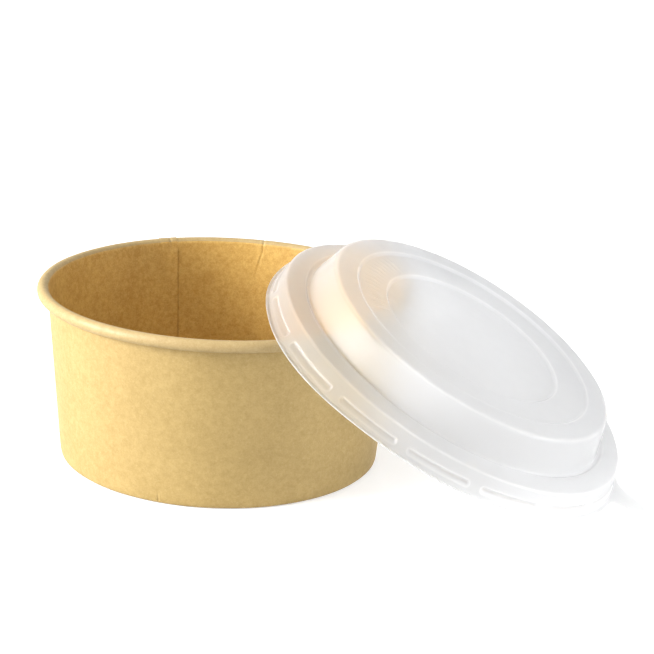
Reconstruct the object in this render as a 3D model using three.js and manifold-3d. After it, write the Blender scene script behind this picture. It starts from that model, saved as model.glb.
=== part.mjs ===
// Round paperboard salad bowl, with its translucent plastic lid leaning on the rim.
// Millimetres, +Z up. The bowl stands on the table, and the lid lies over the right-hand
// side of the rim with its pull tab down on the table.

import * as THREE from 'three';
import { mergeVertices } from 'three/addons/utils/BufferGeometryUtils.js';
import Module from 'manifold-3d';

// ---- bowl ----
const RIM_RADIUS = 75;          // outside of the rolled rim
const BOWL_HEIGHT = 70.3;
const FOOT_RADIUS = 65.2;       // outside of the wall where it meets the table
const BOARD = 0.5;              // paperboard thickness
const CURL_RADIUS = 2.35;       // outside radius of the rolled rim's tube
const FLOOR_HEIGHT = 7;         // top of the inside floor above the table
const FLAP_HEIGHT = 5;          // edge of the wall folded up inside the foot
const PLY_GAP = 0.3;            // air kept between the plies at the foot

// ---- side seam of the wall: one end of the sheet lies over the other ----
const SEAM_ANGLE = 107.5;       // inside edge of the seam, degrees round from +X
const SEAM_LAP = 6;             // width of the overlap, degrees
const SEAM_BOTTOM = 11;         // heights between which it stands its full thickness
const SEAM_TOP = 62;

// ---- lid ----
const LIP_RADIUS = 80;          // outside of the flat lip
const LIP_WIDTH = 1.4;
const FILM = 0.6;               // plastic thickness
const SKIRT_TOP_RADIUS = 75.1;
const SKIRT_TOP_HEIGHT = 8.6;
const SHOULDER_RADIUS = 67.6;   // inner edge of the flat ring round the dome
const SHOULDER_HEIGHT = 9.7;
const DOME_FOOT_RADIUS = 65.2;
const DOME_RADIUS = 61.5;       // where the dome's wall would meet its top
const DOME_HEIGHT = 22.5;
const RIDGE_RADIUS = 51.7;      // step down to the flat ring round the middle panel
const RIDGE_HEIGHT = 22.7;
const PANEL_RADIUS = 38.2;      // step down to the middle panel
const PANEL_HEIGHT = 21.0;
const STEP = 0.8;               // drop of the groove at the foot of the dome
const LUG_COUNT = 16;           // snap lugs pressed into the skirt
const LUG_HEIGHT = 3.2;         // middle of the lugs above the lip
const LUG_DEPTH = 0.8;
const TAB_REACH = 14.7;         // pull tab beyond the lip
const TAB_ROOT = 21;            // width of the tab where it leaves the lip
const TAB_END = 11;
const TAB_TURN = 4;             // degrees round from the lid's lowest point
// The thin skirt gives: [degrees round the lid, half width in degrees, millimetres outwards].
const SKIRT_FLEX = [
  [181, 32, -2.4],              // drawn in at its highest point
  [237, 30, 2.4],               // pressed out where it leans on the rim of the bowl
];

// ---- how the lid lies ----
const LID_TILT = 28.2;          // degrees from level
const LID_TURN = -21.7;         // direction in which it slopes down, degrees from +X
const LID_X = 87.3;
const LID_Y = -34.4;
const LID_Z = 44.7;             // middle of the lip's underside above the table

// ---- mesh ----
const SEGMENTS = 96;
const CURL_STEPS = 8;
const CURL_TURN = THREE.MathUtils.degToRad(310);
const BASE_SEGMENTS = 60;

const radians = THREE.MathUtils.degToRad;

// A sheet of even thickness along a path of [radius, height] points, as a closed profile.
// A path that ends on the axis gives a profile that starts and ends there.
function sheet(path, thickness) {
  const points = path.map(([r, z]) => new THREE.Vector2(r, z));
  const normals = points.map((point, i) => {
    const before = points[Math.max(i - 1, 0)];
    const after = points[Math.min(i + 1, points.length - 1)];
    const into = point.clone().sub(before).normalize();
    const out = after.clone().sub(point).normalize();
    const along = into.clone().add(out).normalize();
    const normal = new THREE.Vector2(-along.y, along.x);
    const side = into.lengthSq() > 0 ? into : out;
    const mitre = 1 / Math.max(Math.abs(side.x * normal.y - side.y * normal.x), 0.5);
    return normal.multiplyScalar(mitre * thickness / 2);
  });
  const left = points.map((point, i) => point.clone().add(normals[i]));
  const right = points.map((point, i) => point.clone().sub(normals[i]));
  const loop = [...left, ...right.reverse()];
  const onAxis = points[points.length - 1].x === 0;
  if (onAxis) {
    // start on the axis with the right-hand side, and come back to it with the left-hand one
    const start = loop.slice(points.length).concat(loop.slice(0, points.length));
    start[0].x = 0;
    start[start.length - 1].x = 0;
    return start;
  }
  return [...loop, loop[0].clone()];
}

// Sweep a closed profile round +Z. relief(angle, point) gives a radial shift in millimetres,
// and angles may be bunched where a step needs them.
function lathe(profile, segments, relief, angles) {
  const geometry = new THREE.LatheGeometry(profile, segments);
  const position = geometry.attributes.position;
  for (let ring = 0; ring <= segments; ring++) {
    const angle = angles ? angles[ring % segments] : 2 * Math.PI * (ring % segments) / segments;
    profile.forEach((point, i) => {
      const radius = point.x === 0 ? 0 : point.x + (relief ? relief(angle, point) : 0);
      position.setXYZ(ring * profile.length + i,
        radius * Math.cos(angle), radius * Math.sin(angle), point.y);
    });
  }
  return closed(geometry);
}

// Shared vertices merged, faces without area dropped and all faces pointing out.
function closed(source) {
  source.deleteAttribute('normal');
  source.deleteAttribute('uv');
  const geometry = mergeVertices(source, 1e-5);
  const index = Array.from(geometry.index.array);
  const kept = [];
  const position = geometry.attributes.position;
  const corner = i => new THREE.Vector3().fromBufferAttribute(position, i);
  let volume = 0;
  for (let t = 0; t < index.length; t += 3) {
    const [a, b, c] = index.slice(t, t + 3);
    if (a === b || b === c || c === a) continue;
    kept.push([a, b, c]);
    volume += corner(a).dot(corner(b).cross(corner(c)));
  }
  const faces = volume < 0 ? kept.map(([a, b, c]) => [a, c, b]) : kept;
  geometry.setIndex(faces.flat());
  geometry.computeVertexNormals();
  return geometry;
}

// ---- bowl wall ----
// Middle line of the side wall, as a radius at a height.
const curlMiddle = CURL_RADIUS - BOARD / 2;
const curlCentre = new THREE.Vector2(RIM_RADIUS - CURL_RADIUS, BOWL_HEIGHT - CURL_RADIUS);
const footMiddle = FOOT_RADIUS - BOARD / 2;
const wallRise = curlCentre.x - curlMiddle - footMiddle;
const wallRadius = z => footMiddle + wallRise * z / curlCentre.y;
const plyStep = BOARD + PLY_GAP;

// From the end of the folded-in flap, round the foot, up the wall and round the rim.
function wallPath() {
  const path = [
    [wallRadius(FLAP_HEIGHT) - 2 * plyStep, FLAP_HEIGHT],
    [wallRadius(0) - 2 * plyStep, BOARD / 2],
    [wallRadius(0), BOARD / 2],
    [wallRadius(FLOOR_HEIGHT + 1), FLOOR_HEIGHT + 1],
    [wallRadius(SEAM_BOTTOM), SEAM_BOTTOM],
    [wallRadius(SEAM_TOP), SEAM_TOP],
  ];
  for (let i = 0; i <= CURL_STEPS; i++) {
    const angle = Math.PI - CURL_TURN * i / CURL_STEPS;
    path.push([
      curlCentre.x + curlMiddle * Math.cos(angle),
      curlCentre.y + curlMiddle * Math.sin(angle),
    ]);
  }
  return path;
}

// The seam stands one ply proud: inside it ends at SEAM_ANGLE, and outside at the far end
// of the overlap.
function seamRelief(angle, point) {
  const across = (angle - radians(SEAM_ANGLE)) / radians(SEAM_LAP);
  const onSeam = across > 0 && across < 1;
  if (!onSeam || point.y < SEAM_BOTTOM - BOARD || point.y > SEAM_TOP + BOARD) return 0;
  const middle = wallRadius(point.y);
  if (point.x > middle + BOARD) return 0;
  return point.x < middle ? -BOARD * (1 - across) : BOARD * across;
}

// Even angles, with two pairs bunched where the seam's cut edges are.
function seamAngles() {
  const EDGE = radians(0.15);
  const edges = [radians(SEAM_ANGLE), radians(SEAM_ANGLE + SEAM_LAP)];
  const wanted = [edges[0], edges[0] + EDGE, edges[1] - EDGE, edges[1]];
  const even = Array.from({ length: SEGMENTS - wanted.length },
    (_, i) => 2 * Math.PI * i / (SEGMENTS - wanted.length));
  return [...even, ...wanted].sort((a, b) => a - b);
}

function bowlWall() {
  return lathe(sheet(wallPath(), BOARD), SEGMENTS, seamRelief, seamAngles());
}

// ---- bowl base: a disc whose edge is turned down between the wall and its flap ----
function bowlBase() {
  const discZ = FLOOR_HEIGHT - BOARD / 2;
  const skirtFoot = BOARD + PLY_GAP;
  const skirtRadius = z => wallRadius(z) - plyStep;
  const path = [
    [skirtRadius(skirtFoot), skirtFoot],
    [skirtRadius(discZ - 1), discZ - 1],
    [skirtRadius(discZ) - 0.4, discZ - 0.25],
    [skirtRadius(discZ) - 1.3, discZ],
    [0, discZ],
  ];
  return lathe(sheet(path, BOARD), BASE_SEGMENTS);
}

// ---- lid ----
// Middle line of the plastic, from the edge of the lip to the centre.
function lidPath() {
  const lip = FILM / 2;
  const skirt = t => [
    THREE.MathUtils.lerp(LIP_RADIUS - LIP_WIDTH, SKIRT_TOP_RADIUS + 0.5, t),
    THREE.MathUtils.lerp(lip, SKIRT_TOP_HEIGHT - 0.9, t),
  ];
  const lugRow = offset => (LUG_HEIGHT + offset) / (SKIRT_TOP_HEIGHT - 0.9);
  const grooveHeight = SHOULDER_HEIGHT - STEP;
  return [
    [LIP_RADIUS, lip],
    skirt(0),
    skirt(lugRow(-1.4)),
    skirt(lugRow(-0.5)),
    skirt(lugRow(0.5)),
    skirt(lugRow(1.4)),
    skirt(1),
    [SKIRT_TOP_RADIUS - 0.6, SKIRT_TOP_HEIGHT],
    [SHOULDER_RADIUS, SHOULDER_HEIGHT],
    [SHOULDER_RADIUS - 0.8, grooveHeight],
    [DOME_FOOT_RADIUS + 0.2, grooveHeight],
    [DOME_RADIUS + 0.5, DOME_HEIGHT - 3.2],
    [DOME_RADIUS - 0.5, DOME_HEIGHT - 0.8],
    [DOME_RADIUS - 2.2, DOME_HEIGHT],
    [RIDGE_RADIUS + 0.6, RIDGE_HEIGHT],
    [RIDGE_RADIUS - 0.8, RIDGE_HEIGHT - 1],
    [PANEL_RADIUS + 0.6, PANEL_HEIGHT + 0.6],
    [PANEL_RADIUS - 0.8, PANEL_HEIGHT - 0.4],
    [0, PANEL_HEIGHT - 0.4],
  ];
}

// Lugs are pressed inwards over most of each pitch, in the two rows of points at their middle,
// and the skirt flexes more the nearer it is to the lip.
function skirtRelief(angle, point) {
  if (point.x < SKIRT_TOP_RADIUS) return 0;
  const pitch = 2 * Math.PI / LUG_COUNT;
  const fromMiddle = Math.abs(((angle - radians(TAB_TURN)) / pitch % 1 + 1) % 1 - 0.5);
  const HALF_LENGTH = 0.42;
  const onLug = Math.abs(point.y - LUG_HEIGHT) < 1 && fromMiddle < HALF_LENGTH;
  const give = Math.max(0, 1 - point.y / SKIRT_TOP_HEIGHT);
  const flex = SKIRT_FLEX.reduce((sum, [middle, halfWidth, outwards]) => {
    const off = (THREE.MathUtils.radToDeg(angle) - middle) / halfWidth;
    return sum + outwards * Math.max(0, 1 - off * off) ** 2;
  }, 0);
  return (onLug ? -LUG_DEPTH : 0) + give * flex;
}

// Tongue in the plane of the lip, narrowing to a rounded end.
function pullTab() {
  const ROOT_OVERLAP = 1;
  const root = LIP_RADIUS - ROOT_OVERLAP;
  const end = LIP_RADIUS + TAB_REACH;
  const shape = new THREE.Shape();
  shape.moveTo(root, -TAB_ROOT / 2);
  shape.quadraticCurveTo(LIP_RADIUS + 1.5, -TAB_ROOT / 2 + 3, LIP_RADIUS + 4, -TAB_ROOT / 2 + 3.8);
  shape.lineTo(end - TAB_END / 2, -TAB_END / 2);
  shape.quadraticCurveTo(end, -TAB_END / 2, end, 0);
  shape.quadraticCurveTo(end, TAB_END / 2, end - TAB_END / 2, TAB_END / 2);
  shape.lineTo(LIP_RADIUS + 4, TAB_ROOT / 2 - 3.8);
  shape.quadraticCurveTo(LIP_RADIUS + 1.5, TAB_ROOT / 2 - 3, root, TAB_ROOT / 2);
  const geometry = new THREE.ExtrudeGeometry(shape,
    { depth: FILM, bevelEnabled: false, curveSegments: 6 });
  geometry.rotateZ(radians(TAB_TURN));
  return closed(geometry);
}

const wasm = await Module();
wasm.setup();

function toSolid(geometry) {
  return new wasm.Manifold(new wasm.Mesh({
    numProp: 3,
    vertProperties: new Float32Array(geometry.attributes.position.array),
    triVerts: new Uint32Array(geometry.index.array),
  }));
}

function toGeometry(solid) {
  const mesh = solid.getMesh();
  const geometry = new THREE.BufferGeometry();
  geometry.setAttribute('position', new THREE.BufferAttribute(mesh.vertProperties, 3));
  geometry.setIndex(new THREE.BufferAttribute(mesh.triVerts, 1));
  geometry.computeVertexNormals();
  return geometry;
}

function lidShell() {
  const shell = toSolid(lathe(sheet(lidPath(), FILM), SEGMENTS, skirtRelief));
  return toGeometry(shell.add(toSolid(pullTab())));
}

// ---- put together ----
function mesh(name, geometry, colour, roughness) {
  const material = new THREE.MeshStandardMaterial({ color: colour, roughness, metalness: 0 });
  const object = new THREE.Mesh(geometry, material);
  object.name = name;
  return object;
}

const KRAFT = 0xd6b070;
const MILKY = 0xeef0f2;

const bowl = new THREE.Group();
bowl.add(mesh('bowl_wall', bowlWall(), KRAFT, 0.85));
bowl.add(mesh('bowl_base', bowlBase(), KRAFT, 0.85));

const tilted = new THREE.Group();
tilted.rotation.y = radians(LID_TILT);
tilted.add(mesh('lid', lidShell(), MILKY, 0.3));

const turned = new THREE.Group();
turned.rotation.z = radians(LID_TURN);
turned.position.set(LID_X, LID_Y, LID_Z);
turned.add(tilted);

// The origin is on the table, under the middle of the whole thing's box.
const setting = new THREE.Group();
setting.add(bowl, turned);
setting.updateMatrixWorld(true);
const box = new THREE.Box3().setFromObject(setting, true);
const middle = box.getCenter(new THREE.Vector3());
setting.position.set(-middle.x, -middle.y, -box.min.z);

const group = new THREE.Group();
group.add(setting);

export default group;
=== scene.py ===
"""Looks of a kraft paper salad bowl, with its milky plastic lid leaning on the rim."""
import math

import bmesh
import bpy
import numpy as np
from mathutils import Matrix, Vector


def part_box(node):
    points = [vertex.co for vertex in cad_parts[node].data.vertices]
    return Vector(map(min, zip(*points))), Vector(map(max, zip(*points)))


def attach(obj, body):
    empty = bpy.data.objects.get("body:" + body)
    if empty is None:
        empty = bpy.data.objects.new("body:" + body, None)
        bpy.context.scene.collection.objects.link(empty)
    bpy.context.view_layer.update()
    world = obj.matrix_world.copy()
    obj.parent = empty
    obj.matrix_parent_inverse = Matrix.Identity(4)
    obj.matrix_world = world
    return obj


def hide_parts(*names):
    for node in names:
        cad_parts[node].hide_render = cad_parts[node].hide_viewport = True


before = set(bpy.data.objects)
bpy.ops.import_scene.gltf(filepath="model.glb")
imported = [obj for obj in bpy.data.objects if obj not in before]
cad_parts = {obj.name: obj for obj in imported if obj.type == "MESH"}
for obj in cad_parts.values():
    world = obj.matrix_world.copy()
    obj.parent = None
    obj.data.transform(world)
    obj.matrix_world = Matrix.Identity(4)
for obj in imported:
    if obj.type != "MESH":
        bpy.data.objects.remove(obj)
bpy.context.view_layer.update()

MM = 0.001

# ---- bowl, in millimetres from its axis and the table, and degrees round from +X ----
BOARD = 0.45                 # paperboard
RIM_TUBE = 2.12              # middle of the board in the rolled rim, from the roll's centre
RIM_ROLL = (72.65, 67.95)    # centre of the roll: radius, height
RIM_TURN = 318               # degrees that the board is rolled through
RIM_POINTS = 34              # points along the roll
FOOT = 64.95                 # middle of the wall's board at the table
FLOOR_HEIGHT = 6.75          # middle of the base's board
PLY = 0.8                    # from one ply of the foot to the next
FLAP_HEIGHT = 5.0            # top of the flap folded up inside the foot
SEAM_ANGLE = 107.5           # inner cut edge of the side seam
SEAM_LAP = 6.0               # how far the board overlaps itself
CREASE_ANGLE = 76.5          # short fold that runs down from the rim
DENT_ANGLE = 78.8            # shallow dent where the crease ends
PUCKER_ANGLE = 110.0         # wavy fold beside the seam, at the rim
NICK_ANGLE = 249.7           # small nick in the fold of the foot
MARKED_SIDE = (69, 117)      # stretch with the seam and the creases, in fine steps

# ---- lid, in millimetres from the middle of its lip's underside, and degrees round it ----
FILM = 0.36                  # sheet plastic
LIP = 80.0                   # outer radius
TAB_TURN = 4.0               # where the pull tab is
TAB_REACH = 14.7             # out from the lip
TAB_ROOT = 21.0              # width at the lip
TAB_FLARE = 3.8              # each side curves in by this at the root
FLARE_REACH = 4              # and over this much of the reach
TAB_END = 11.0               # width at the round end
SKIRT_TOP = 8.6              # height of the bend above the skirt
SKIRT_INSIDE = 74.5          # everything further out than this is skirt, lip or tab
SKIRT_MIDDLE = 77            # radius halfway up the skirt
LUGS = 16                    # long hollows in the skirt that snap under the rim
LUG_HALF = 8.6               # degrees from a lug's middle to the middle of its round end
LUG_HEIGHT = 3.2             # of the middle of a lug
LUG_WIDTH = 1.35             # half the width of a lug
LUG_DEPTH = 0.7
SKIRT_FLEX = (               # middle, half width, millimetres outwards at the lip
    (181, 32, -2.4),         # drawn in at its highest point
    (237, 30, 2.4))          # pressed out where it leans on the bowl
RIBS = tuple(range(162, 223, 4))     # short ribs on the upper ring
RIB_RADIUS = 45.0            # of the middle of a rib
RIB_LIFT = 0.3               # height of a rib
BENDS_PAINTED_PALE = (               # radius, height and half width of a bend painted paler: partly the film's whitening, partly painted highlight
    (75.3, 8.45, 0.75), (67.5, 9.6, 0.55), (60.9, 22.3, 0.8),
    (52.0, 22.7, 0.6), (38.6, 21.6, 0.6), (LIP, 0.3, 0.7))

# ---- where the lid lies: degrees, millimetres from the bowl's axis at the table ----
LID_TILT = 28.2
LID_TURN = -21.7
LID_PLACE = (87.3, -34.4, 44.7)

# ---- lights, each a round softbox: metres, watts ----
SOFTBOXES = (                # name, place, width, power
    ("left_softbox", (-1.45, -0.35, 0.58), 0.8, 54),
    ("top_softbox", (-0.6, -0.3, 1.7), 1.2, 8),
    ("right_softbox", (1.25, -0.55, 0.14), 0.4, 13.5))
LIT_PLACE = Vector((0, 0, 0.04))     # point that the softboxes face
ROOM_SEEN = 1.02             # strength of the white room as it looks
ROOM_LIGHT = 0.84            # and as it lights dull surfaces
TABLE_GLOW = 0.5             # strength of the table's glow
GLOW_THROUGH_LID = 0.3       # share of that glow which shows through the lid
FILM_SHADOW = 0.44           # share of the light that passes through the lid

low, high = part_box("bowl_wall")
BOWL_AXIS = Vector(((low.x + high.x) / 2, (low.y + high.y) / 2, 0))


# ---------------------------------------------------------------- shapes
def ease(x, start, end):
    """0 before start, 1 after end, and a smooth rise between them."""
    t = np.clip((x - start) / (end - start), 0, 1)
    return t * t * (3 - 2 * t)


def hump(x, middle, half_width):
    """A smooth rise to 1 at the middle, and 0 outside the half width."""
    t = np.clip(1 - ((x - middle) / half_width) ** 2, 0, 1)
    return t * t


def rounded(corners, steps=8):
    """A path through [radius, height, fillet] corners, with each fillet drawn as an arc."""
    points = [np.array(corners[0][:2], float)]
    for before, corner, after in zip(corners, corners[1:], corners[2:]):
        p = np.array(corner[:2], float)
        into = p - np.array(before[:2], float)
        out = np.array(after[:2], float) - p
        into_length, out_length = np.linalg.norm(into), np.linalg.norm(out)
        into, out = into / into_length, out / out_length
        turn = math.acos(np.clip(into @ out, -1, 1))
        cut = min(corner[2] * math.tan(turn / 2), 0.49 * into_length, 0.49 * out_length)
        if turn < 0.02 or cut < 1e-4:
            points.append(p)
            continue
        for i in range(steps + 1):
            t = i / steps
            # a quadratic arc is close enough to a circle at this size
            points.append((1 - t) ** 2 * (p - cut * into) + 2 * t * (1 - t) * p
                          + t ** 2 * (p + cut * out))
    points.append(np.array(corners[-1][:2], float))
    return np.array(points)


def filled(path, longest):
    """The path with points added, so that no step is longer than that."""
    points = [path[0]]
    for a, b in zip(path, path[1:]):
        count = max(1, int(math.ceil(np.linalg.norm(b - a) / longest)))
        points += [a + (b - a) * (i + 1) / count for i in range(count)]
    return np.array(points)


def faces_of_sheet(path, thickness):
    """Left and right faces of a sheet of even thickness along the path."""
    along = np.gradient(path, axis=0)
    along /= np.linalg.norm(along, axis=1)[:, None]
    normal = np.stack([-along[:, 1], along[:, 0]], 1) * thickness / 2
    return path + normal, path - normal


def swept(name, left, right, angles, shaped, on_axis, materials, place,
          slot_of=lambda i, count: 0, masks=None):
    """A sheet turned round the axis. shaped(degrees, side, radius, height) moves the points,
    where side is 1 on the left face and 0 on the right one. on_axis says that the sheet's
    last point is on the axis. slot_of(i, count) is the material of the face strip from point
    i of the section, and masks are values at the points that the materials read."""
    rings = len(angles)
    count = len(left)
    section = np.concatenate([left, right[::-1]])
    side = np.concatenate([np.ones(count), np.zeros(count)])
    degrees = np.repeat(np.array(angles)[:, None], 2 * count, 1)
    radius = np.repeat(section[None, :, 0], rings, 0)
    height = np.repeat(section[None, :, 1], rings, 0)
    radius, height = shaped(degrees, side[None, :], radius, height)
    turn = np.radians(degrees)
    points = np.stack([radius * np.cos(turn), radius * np.sin(turn), height], 2)
    width = 2 * count
    faces, slots = [], []
    for ring in range(rings):
        here, there = ring * width, (ring + 1) % rings * width
        for i in range(width):
            j = (i + 1) % width
            if on_axis and i == count - 1:
                continue
            faces.append((here + i, here + j, there + j, there + i))
            slots.append(slot_of(i, count))
    points = points.reshape(-1, 3)
    mesh = bpy.data.meshes.new(name)
    mesh.from_pydata((points * MM).tolist(), [], faces)
    for material in materials:
        mesh.materials.append(material)
    if len(materials) > 1:
        mesh.polygons.foreach_set("material_index", slots)
    for mask, values in (masks or {}).items():
        mesh.attributes.new(mask, "FLOAT", "POINT").data.foreach_set(
            "value", np.ascontiguousarray(values, np.float32).ravel())
    mesh.transform(place)
    tidy_mesh(mesh)
    piece = bpy.data.objects.new(name, mesh)
    bpy.context.scene.collection.objects.link(piece)
    return piece


def tidy_mesh(mesh):
    """Doubled points merged, faces turned outwards, and shaded smooth but for sharp edges."""
    sharp = 40     # degrees between the faces on each side of an edge
    work = bmesh.new()
    work.from_mesh(mesh)
    bmesh.ops.remove_doubles(work, verts=work.verts, dist=1e-7)
    bmesh.ops.dissolve_degenerate(work, edges=work.edges, dist=1e-8)
    bmesh.ops.recalc_face_normals(work, faces=work.faces)
    work.to_mesh(mesh)
    work.free()
    mesh.shade_smooth()
    mesh.set_sharp_from_angle(angle=math.radians(sharp))


# ---------------------------------------------------------------- materials
def add(tree, kind, inputs=(), **settings):
    """A node of that kind, with its inputs set or linked and its properties set."""
    node = tree.nodes.new(kind)
    for key, value in settings.items():
        setattr(node, key, value)
    for key, value in dict(inputs).items():
        if isinstance(value, bpy.types.NodeSocket):
            tree.links.new(value, node.inputs[key])
        else:
            node.inputs[key].default_value = value
    return node


def math_node(tree, operation, a, b=0.0, clamp=False):
    """One step of arithmetic, on values or sockets."""
    node = add(tree, "ShaderNodeMath", {0: a, 1: b}, operation=operation)
    node.use_clamp = clamp
    return node.outputs[0]


def noise(tree, place, scale, detail=2.0, roughness=0.5, distortion=0.0):
    """Noise whose patches are about 1 / scale metres across."""
    return add(tree, "ShaderNodeTexNoise", {
        "Vector": place, "Scale": scale, "Detail": detail, "Roughness": roughness,
        "Distortion": distortion}).outputs["Fac"]


def mapped(tree, value, low_in, high_in, low_out, high_out):
    """The value, from the first range to the second, and held at its ends."""
    return add(tree, "ShaderNodeMapRange", {
        "Value": value, "From Min": low_in, "From Max": high_in,
        "To Min": low_out, "To Max": high_out}).outputs["Result"]


def mixed(tree, factor, a, b):
    """Colour a, going over to colour b as the factor rises."""
    node = tree.nodes.new("ShaderNodeMix")
    node.data_type = "RGBA"
    for socket, value in ((node.inputs[0], factor), (node.inputs[6], a), (node.inputs[7], b)):
        if isinstance(value, bpy.types.NodeSocket):
            tree.links.new(value, socket)
        else:
            socket.default_value = value
    return node.outputs[2]


def new_group(name, inputs, outputs):
    """An empty node group with those sockets, and its nodes for what goes in and out."""
    group = bpy.data.node_groups.new(name, "ShaderNodeTree")
    for socket, kind, value in inputs:
        made = group.interface.new_socket(socket, in_out="INPUT", socket_type=kind)
        made.default_value = value
    for socket, kind in outputs:
        group.interface.new_socket(socket, in_out="OUTPUT", socket_type=kind)
    return group, group.nodes.new("NodeGroupInput"), group.nodes.new("NodeGroupOutput")


def paper_pulp():
    """Kraft paper: clouds and mottling in the pulp, with dark and pale fibres in it."""
    group, given, result = new_group(
        "paper_pulp",
        [("Paper", "NodeSocketColor", (0.6, 0.4, 0.2, 1)),
         ("Dark pulp", "NodeSocketColor", (0.5, 0.3, 0.1, 1)),
         ("Pale fibre", "NodeSocketColor", (0.8, 0.6, 0.4, 1)),
         ("Mottling", "NodeSocketFloat", 0.5),
         ("Fibres", "NodeSocketFloat", 0.5)],
        [("Color", "NodeSocketColor"), ("Mottle", "NodeSocketFloat"),
         ("Height", "NodeSocketFloat")])
    place = add(group, "ShaderNodeTexCoord").outputs["Object"]
    clouds = noise(group, place, 55, 3, 0.6)
    mottle = noise(group, place, 430, 4, 0.7)
    grain = noise(group, place, 1500, 2, 0.6)
    strand = noise(group, place, 520, 1, 0.5, 2.2)
    breaks = noise(group, place, 700, 1)
    pale_strand = noise(group, place, 760, 1, 0.5, 2.6)
    pale_breaks = noise(group, place, 900, 1)

    def thread(source, gaps, half_width):
        """Thin lines where the source crosses its middle value, broken up by the gaps."""
        off = math_node(group, "ABSOLUTE", math_node(group, "SUBTRACT", source, 0.5))
        line = mapped(group, off, 0, half_width, 1, 0)
        kept = mapped(group, gaps, 0.5, 0.62, 0, 1)
        return math_node(group, "MULTIPLY", line, kept, clamp=True)

    dark_fibre = thread(strand, breaks, 0.016)
    pale_fibre = thread(pale_strand, pale_breaks, 0.018)
    blotch = math_node(group, "ADD", math_node(group, "MULTIPLY", clouds, 0.2),
                       math_node(group, "ADD", math_node(group, "MULTIPLY", mottle, 0.5),
                                 math_node(group, "MULTIPLY", grain, 0.3)))
    spread = mapped(group, blotch, 0.40, 0.60, 0, 1)
    darkened = math_node(group, "MULTIPLY", spread, given.outputs["Mottling"])
    colour = mixed(group, darkened, given.outputs["Paper"], given.outputs["Dark pulp"])
    colour = mixed(group, math_node(group, "MULTIPLY", dark_fibre, given.outputs["Fibres"]),
                   colour, given.outputs["Dark pulp"])
    colour = mixed(group, math_node(group, "MULTIPLY", pale_fibre, given.outputs["Fibres"]),
                   colour, given.outputs["Pale fibre"])
    height = math_node(group, "ADD", math_node(group, "MULTIPLY", mottle, 0.5),
                       math_node(group, "ADD", math_node(group, "MULTIPLY", grain, 0.35),
                                 math_node(group, "MULTIPLY", pale_fibre, 0.3)))
    group.links.new(colour, result.inputs["Color"])
    group.links.new(spread, result.inputs["Mottle"])
    group.links.new(height, result.inputs["Height"])
    return group


def new_material(name):
    """A material with its node tree and its shader."""
    material = bpy.data.materials.new(name)
    material.use_nodes = True
    tree = material.node_tree
    return material, tree, tree.nodes["Principled BSDF"]


def kraft(name, pulp, paper, dark, pale, mottling, fibres, rough, relief, specular):
    """Kraft board of one finish: its colours, how mottled and fibrous it is, how rough."""
    material, tree, shader = new_material(name)
    sheet = add(tree, "ShaderNodeGroup", {
        "Paper": (*paper, 1), "Dark pulp": (*dark, 1), "Pale fibre": (*pale, 1),
        "Mottling": mottling, "Fibres": fibres}, node_tree=pulp)
    tree.links.new(sheet.outputs["Color"], shader.inputs["Base Color"])
    tree.links.new(mapped(tree, sheet.outputs["Mottle"], 0, 1, rough - 0.05, rough + 0.05),
                   shader.inputs["Roughness"])
    bump = add(tree, "ShaderNodeBump", {"Strength": relief, "Distance": 0.0002,
                                        "Height": sheet.outputs["Height"]})
    tree.links.new(bump.outputs["Normal"], shader.inputs["Normal"])
    shader.inputs["Specular IOR Level"].default_value = specular
    return material


def milky_film():
    """Frosted plastic, painted paler along its bends, round its lugs and on its ribs, partly the
    film's whitening and partly painted highlight, and painted grey shade in the hollows of the
    lugs.
    """
    material, tree, shader = new_material("milky_film")
    place = add(tree, "ShaderNodeTexCoord").outputs["Object"]
    haze = noise(tree, place, 28, 2)
    ripple = noise(tree, place, 160, 3, 0.55)
    tint = mixed(tree, mapped(tree, haze, 0.35, 0.65, 0, 1),
                 (0.845, 0.85, 0.86, 1), (0.865, 0.87, 0.88, 1))
    whitening_and_highlight = add(tree, "ShaderNodeAttribute", attribute_name="whitening_and_highlight").outputs["Fac"]
    groove = add(tree, "ShaderNodeAttribute", attribute_name="groove").outputs["Fac"]
    # painted highlight: the base colour goes to white along the bends, round the lugs and on the
    # ribs, partly the film's own whitening
    tint = mixed(tree, whitening_and_highlight, tint, (1, 1, 1, 1))
    # painted shade: the base colour goes grey in the hollow of each lug
    tint = mixed(tree, math_node(tree, "MULTIPLY", groove, 0.7), tint, (0.74, 0.72, 0.70, 1))
    tree.links.new(tint, shader.inputs["Base Color"])
    tree.links.new(mapped(tree, ripple, 0.3, 0.7, 0.43, 0.51), shader.inputs["Roughness"])
    bump = add(tree, "ShaderNodeBump", {"Strength": 0.25, "Distance": 0.0002,
                                        "Height": ripple})
    tree.links.new(bump.outputs["Normal"], shader.inputs["Normal"])
    shader.inputs["Transmission Weight"].default_value = 0.92
    shader.inputs["IOR"].default_value = 1.3
    shader.inputs["Coat Weight"].default_value = 0.05
    shader.inputs["Coat Roughness"].default_value = 0.3
    # the film's shadow is only a half shadow, as part of the light goes through it
    clear = add(tree, "ShaderNodeBsdfTransparent", {
        "Color": (FILM_SHADOW, FILM_SHADOW, FILM_SHADOW, 1)})
    through = add(tree, "ShaderNodeMixShader", {
        0: add(tree, "ShaderNodeLightPath").outputs["Is Shadow Ray"],
        1: shader.outputs["BSDF"], 2: clear.outputs["BSDF"]})
    tree.links.new(through.outputs["Shader"], tree.nodes["Material Output"].inputs["Surface"])
    return material


# ---------------------------------------------------------------- bowl
def wall_radius(height):
    """Middle of the wall's board, which leans outwards from the foot to the roll."""
    top = RIM_ROLL[0] - RIM_TUBE
    return FOOT + (top - FOOT) * height / RIM_ROLL[1]


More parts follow.
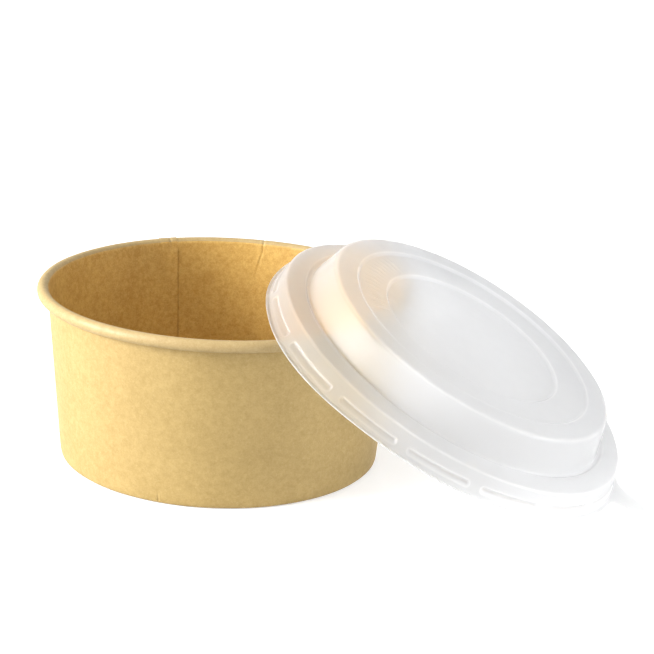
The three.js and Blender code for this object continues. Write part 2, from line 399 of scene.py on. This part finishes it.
def wall_path():
    """Middle of the board: the flap inside the foot, the fold, the wall and the rolled rim."""
    points = [[wall_radius(z) - 2 * PLY, z] for z in np.linspace(FLAP_HEIGHT, PLY + 0.3, 6)]
    for turn in np.linspace(0, math.pi, 9):
        points.append([wall_radius(0) - PLY - PLY * math.cos(turn),
                       BOARD / 2 + PLY - PLY * math.sin(turn)])
    # the points are closer together near the rim, where the creases are
    points += [[wall_radius(z), z] for z in np.linspace(PLY + 0.6, 50, 34)]
    points += [[wall_radius(z), z] for z in np.linspace(51, RIM_ROLL[1] - 0.4, 22)]
    for turn in np.radians(np.linspace(180, 180 - RIM_TURN, RIM_POINTS)):
        points.append([RIM_ROLL[0] + RIM_TUBE * math.cos(turn),
                       RIM_ROLL[1] + RIM_TUBE * math.sin(turn)])
    return np.array(points)


def wall_angles():
    """Close together at the creases and the nick, and on both sides of the seam's edges."""
    start, end = MARKED_SIDE
    plain = np.arange(end, 360 + start, 1.2) % 360
    fine = np.arange(start, end, 0.25)
    edge = 0.02
    cuts = [SEAM_ANGLE + off for off in (-0.31, -0.24, -0.16, -0.08, -edge, edge,
                                         SEAM_LAP - edge, SEAM_LAP + edge)]
    nick = np.arange(NICK_ANGLE - 0.9, NICK_ANGLE + 0.95, 0.18)
    clear = [a for a in np.concatenate([plain, fine]) if min(abs(a - c) for c in cuts) > 0.1
             and abs(a - NICK_ANGLE) > 1]
    return sorted(clear + cuts + list(nick))


def bowl_wall(outside, lining, rolled):
    """The wall with its rolled rim, side seam, folded foot, creases and nick."""
    left, right = faces_of_sheet(wall_path(), BOARD)
    rng = np.random.default_rng(7)
    waves = [(k, rng.uniform(0.3, 1.0) / k, rng.uniform(0, 2 * math.pi)) for k in range(2, 11)]

    def shaped(degrees, side, radius, height):
        turn = np.radians(degrees)
        # the board isn't quite round, most of all at the rim
        wave = sum(size * np.sin(k * turn + start) for k, size, start in waves)
        up = np.clip(height / 70, 0, 1)
        roll = ease(height, RIM_ROLL[1] - 3, RIM_ROLL[1])
        outer_roll = (radius > RIM_ROLL[0]) * 1.0
        dr = 0.14 * wave * up ** 2
        dz = 0.10 * wave * roll
        # side seam: one ply proud inside at its inner edge and outside at its far edge
        across = (degrees - SEAM_ANGLE) / SEAM_LAP
        lap = (across > 0) & (across < 1)
        flat_wall = ease(height, 8.5, 11) * (1 - ease(height, RIM_ROLL[1] - 3.5, RIM_ROLL[1] - 1))
        dr += lap * flat_wall * np.where(side > 0.5, -BOARD * (1 - across), BOARD * across)
        dr += 0.30 * hump(degrees, SEAM_ANGLE - 0.16, 0.15) * flat_wall
        dr += lap * roll * outer_roll * 0.22
        dz += lap * roll * 0.16
        # short crease below the rim, and a dent where it ends
        middle = CREASE_ANGLE + 1.7 * np.clip((66 - height) / 8, 0, 1.5)
        crease = hump(degrees, middle, 0.55) * ease(height, 52, 62)
        dent = hump(degrees, DENT_ANGLE, 3.0) * hump(height, 54, 7)
        dr += 0.15 * crease - 0.05 * hump(degrees, middle + 0.8, 0.9) * ease(height, 54, 62)
        dr += 0.22 * dent
        dz -= 0.22 * hump(degrees, CREASE_ANGLE, 0.6) * roll
        # wavy pucker beside the seam
        sway = PUCKER_ANGLE + 0.35 * np.sin(height * 0.9)
        dr += 0.20 * hump(degrees, sway, 0.5) * ease(height, 57, 65)
        dz -= 0.22 * hump(degrees, PUCKER_ANGLE, 0.7) * roll
        # the foot's fold isn't quite even, and has a nick
        foot = 1 - ease(height, 1, 5)
        dr += 0.10 * foot * np.sin(9 * turn + 1) * np.sin(4 * turn)
        dr -= 0.45 * hump(degrees, NICK_ANGLE, 0.55) * hump(height, 1.9, 1.5) * (radius > FOOT)
        return radius + dr, height + dz

    inside_end = int(np.argmax(left[:, 1] > RIM_ROLL[1] + 0.9))

    def slot_of(i, count):
        if i < inside_end:
            return 0
        return 2 if i < count + RIM_POINTS - 1 else 1

    return swept("paper_wall", left, right, wall_angles(), shaped, False,
                 [lining, outside, rolled], Matrix.Translation(BOWL_AXIS), slot_of)


def bowl_base(outside, lining):
    """The disc that closes the bottom, with its edge turned down inside the foot."""
    edge = PLY + 0.1
    path = rounded([
        (wall_radius(edge) - PLY, edge, 0),
        (wall_radius(FLOOR_HEIGHT) - PLY, FLOOR_HEIGHT, 1.1),
        (55, FLOOR_HEIGHT, 0), (0, FLOOR_HEIGHT, 0)])
    path = filled(path, 2.5)
    left, right = faces_of_sheet(path, BOARD)
    left[-1, 0] = right[-1, 0] = 0

    def shaped(degrees, side, radius, height):
        turn = np.radians(degrees)
        inward = 1 - ease(radius, 30, 60)
        sag = -0.25 * inward + 0.05 * np.sin(3 * turn) * hump(radius, 35, 30)
        return radius, height + sag

    # the path runs up and inwards, so its left-hand face is the one under the floor
    return swept("paper_base", left, right, np.arange(0, 360, 1.5), shaped, True,
                 [outside, lining], Matrix.Translation(BOWL_AXIS),
                 lambda i, count: 0 if i < count - 1 else 1)


# ---------------------------------------------------------------- lid
def lid_path():
    """Middle of the film, from the lip up the skirt, over the shoulder ring and up the dome
    to the upper ring and the middle panel. Points are close together at lugs and ribs."""
    foot, skirt_top = np.array([78.6, 0.3]), np.array([75.2, SKIRT_TOP - 0.05])
    at_lugs = [(*(foot + (skirt_top - foot) * t), 0) for t in np.linspace(0.13, 0.58, 11)]
    at_ribs = [(r, 21.7, 0) for r in np.linspace(49.6, 40.4, 9)]
    corners = [
        (LIP, 0.3, 0), (*foot, 0.7), *at_lugs, (*skirt_top, 1.5),
        # shoulder ring, with a shallow groove at the foot of the dome
        (67.6, 9.7, 0.9), (66.6, 8.9, 0.8), (65.3, 8.9, 1.0),
        # dome, its raised edge and the upper ring
        (61.3, 22.5, 2.2), (52.1, 22.75, 1.2), (50.9, 21.7, 1.2), *at_ribs,
        # step down to the middle panel
        (38.7, 21.7, 1.1), (37.5, 20.6, 1.2), (20, 20.5, 0), (0, 20.45, 0)]
    return filled(rounded(corners, steps=4), longest=3.5)


def lid_angles():
    """Close together at the round ends of the lugs and at the ribs."""
    pitch = 360 / LUGS
    outer = LUG_HALF + 1.6
    inner = LUG_HALF - 1.2
    stretches = ((-pitch / 2, -outer, 2), (-outer, -inner, 9), (-inner, inner, 9),
                 (inner, outer, 9), (outer, pitch / 2, 2))
    offsets = np.concatenate([np.linspace(start, end, count, endpoint=False)
                              for start, end, count in stretches])
    angles = []
    for lug in range(LUGS):
        angles += list(TAB_TURN + pitch * (lug + 0.5) + offsets)
    angles = [a for a in angles if not RIBS[0] - 1 < a < RIBS[-1] + 1]
    angles += list(np.arange(RIBS[0] - 1, RIBS[-1] + 1.01, 0.4))
    return sorted(angles)


def tab_edge(degrees):
    """How far the lip's edge reaches at that angle: the tongue of the pull tab."""
    off = (degrees - TAB_TURN + 180) % 360 - 180
    reach = np.linspace(0, TAB_REACH, 60)
    end = TAB_REACH - TAB_END / 2
    neck = TAB_ROOT / 2 - TAB_FLARE
    half = np.where(
        reach < FLARE_REACH,
        TAB_ROOT / 2 - TAB_FLARE * np.sin(reach / FLARE_REACH * math.pi / 2),
        neck + (TAB_END / 2 - neck) * (reach - FLARE_REACH) / (end - FLARE_REACH))
    past = np.clip((reach - end) / (TAB_END / 2), 0, 1)
    half = np.where(reach > end, TAB_END / 2 * np.sqrt(1 - past ** 2), half)
    bearing = np.degrees(np.arctan2(half, LIP + reach))
    return np.interp(np.abs(off), bearing[::-1], reach[::-1], right=0)


def lid(film):
    """The lid with its lugs, short ribs and pull tab, leaning on the rim."""
    path = lid_path()
    left, right = faces_of_sheet(path, FILM)
    left[-1, 0] = right[-1, 0] = 0
    masks = {}

    def shaped(degrees, side, radius, height):
        pitch = 360 / LUGS
        off = (degrees - TAB_TURN) / pitch % 1 - 0.5
        past_end = np.clip(np.abs(off) * pitch - LUG_HALF, 0, None)
        past_end = past_end * math.radians(1) * SKIRT_MIDDLE
        away = np.hypot(past_end, height - LUG_HEIGHT)
        on_skirt = radius > SKIRT_INSIDE
        lug = (1 - ease(away, LUG_WIDTH * 0.25, LUG_WIDTH)) * on_skirt
        edge = ease(radius, LIP - 0.9, LIP)
        give = np.clip(1 - height / SKIRT_TOP, 0, 1) * on_skirt
        flex = sum(out * hump(degrees, middle, half) for middle, half, out in SKIRT_FLEX)
        # painted highlight along the bends and round each lug, partly the film's whitening at its
        # bends, and painted grey shade in the hollow of a lug
        whitening_and_highlight = sum(hump(np.hypot(radius - r, height - h), 0, width)
                    for r, h, width in BENDS_PAINTED_PALE)
        whitening_and_highlight += 0.9 * hump(away, LUG_WIDTH * 0.95, 0.45) * on_skirt
        # the ribs are on the upper ring alone
        beside = np.min([np.abs(degrees - rib) for rib in RIBS], axis=0)
        rib = hump(beside, 0, 1.05) * hump(radius, RIB_RADIUS, 4.6) * (height > 15)
        # the ribs are painted paler too, a painted highlight
        whitening_and_highlight += 0.6 * rib
        masks["whitening_and_highlight"] = np.clip(whitening_and_highlight, 0, 1)
        masks["groove"] = hump(away, 0, 0.55) * on_skirt
        radius = radius - LUG_DEPTH * lug + tab_edge(degrees) * edge + give * flex
        return radius, height + RIB_LIFT * rib

    place = (Matrix.Translation(BOWL_AXIS + Vector(LID_PLACE) * MM)
             @ Matrix.Rotation(math.radians(LID_TURN), 4, "Z")
             @ Matrix.Rotation(math.radians(LID_TILT), 4, "Y"))
    return swept("milky_lid", left, right, lid_angles(), shaped, True, [film], place,
                 masks=masks)


# ---------------------------------------------------------------- stage, light and camera
def stage_floor():
    """A plain pale table that glows a little, so that it has no edge against the room."""
    material, tree, shader = new_material("pale_floor")
    place = add(tree, "ShaderNodeTexCoord").outputs["Object"]
    tone = mixed(tree, noise(tree, place, 3, 2), (0.61, 0.61, 0.61, 1), (0.63, 0.63, 0.63, 1))
    tree.links.new(tone, shader.inputs["Base Color"])
    shader.inputs["Roughness"].default_value = 0.9
    shader.inputs["Specular IOR Level"].default_value = 0.0
    shader.inputs["Emission Color"].default_value = (1, 1, 1, 1)
    # the table glows white, less so through the lid, and doesn't flood the bowl with light
    path = add(tree, "ShaderNodeLightPath").outputs
    glow = math_node(
        tree, "MULTIPLY", mapped(tree, path["Is Diffuse Ray"], 0, 1, TABLE_GLOW, 0),
        mapped(tree, path["Is Transmission Ray"], 0, 1, 1, GLOW_THROUGH_LID))
    tree.links.new(glow, shader.inputs["Emission Strength"])
    mesh = bpy.data.meshes.new("floor")
    half = 12.0     # metres
    mesh.from_pydata([(-half, -half, 0), (half, -half, 0), (half, half, 0), (-half, half, 0)],
                     [], [(0, 1, 2, 3)])
    mesh.materials.append(material)
    floor = bpy.data.objects.new("floor", mesh)
    bpy.context.scene.collection.objects.link(floor)
    floor.location = (0, 0, -0.0002)     # just clear of the foot


def soft_light(name, place, width, power):
    """A round softbox that faces the bowl."""
    light = bpy.data.lights.new(name, "AREA")
    light.shape = "DISK"
    light.size = width
    light.energy = power
    lamp = bpy.data.objects.new(name, light)
    bpy.context.scene.collection.objects.link(lamp)
    lamp.location = place
    lamp.rotation_euler = (LIT_PLACE - Vector(place)).to_track_quat("-Z", "Y").to_euler()


def studio():
    """A white room with its softboxes."""
    world = bpy.data.worlds.new("studio")
    world.use_nodes = True
    tree = world.node_tree
    background = tree.nodes["Background"]
    background.inputs["Color"].default_value = (1, 1, 1, 1)
    diffuse = add(tree, "ShaderNodeLightPath").outputs["Is Diffuse Ray"]
    tree.links.new(mapped(tree, diffuse, 0, 1, ROOM_SEEN, ROOM_LIGHT),
                   background.inputs["Strength"])
    bpy.context.scene.world = world
    for softbox in SOFTBOXES:
        soft_light(*softbox)
    bpy.context.scene.view_settings.view_transform = "Standard"


def camera():
    """Where the outlines of the bowl and the lid fall as they do in the photograph."""
    data = bpy.data.cameras.new("camera")
    data.sensor_width = 36
    data.lens = 100.86
    data.clip_start = 0.01
    data.clip_end = 60
    eye = bpy.data.objects.new("camera", data)
    bpy.context.scene.collection.objects.link(eye)
    place = BOWL_AXIS + Vector((0, -0.71157, 0.28075))
    yaw, pitch, roll = 0.0594, 0.3084, 0.0519     # radians
    eye.matrix_world = (Matrix.Translation(place)
                        @ Matrix.Rotation(-yaw, 4, "Z")
                        @ Matrix.Rotation(math.pi / 2 - pitch, 4, "X")
                        @ Matrix.Rotation(roll, 4, "Z"))
    bpy.context.scene.camera = eye


camera()
stage_floor()
studio()

pulp = paper_pulp()
outside = kraft(
    "kraft_outside", pulp, paper=(0.392, 0.273, 0.097), dark=(0.298, 0.199, 0.058),
    pale=(0.51, 0.39, 0.19), mottling=0.78, fibres=0.6, rough=0.6, relief=0.45, specular=0.5)
rolled = kraft(
    "kraft_rim", pulp, paper=(0.385, 0.280, 0.125), dark=(0.30, 0.205, 0.076),
    pale=(0.54, 0.43, 0.23), mottling=0.75, fibres=0.5, rough=0.55, relief=0.4, specular=0.45)
lining = kraft(
    "kraft_lining", pulp, paper=(0.545, 0.348, 0.098), dark=(0.395, 0.226, 0.050),
    pale=(0.66, 0.48, 0.20), mottling=0.95, fibres=0.65, rough=0.55, relief=0.35,
    specular=0.35)

for piece, node, slot in (
        (bowl_wall(outside, lining, rolled), "bowl_wall", "kraft_board"),
        (bowl_base(outside, lining), "bowl_base", "kraft_base"),
        (lid(milky_film()), "lid", "lid_plastic")):
    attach(piece, "root")
    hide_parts(node)
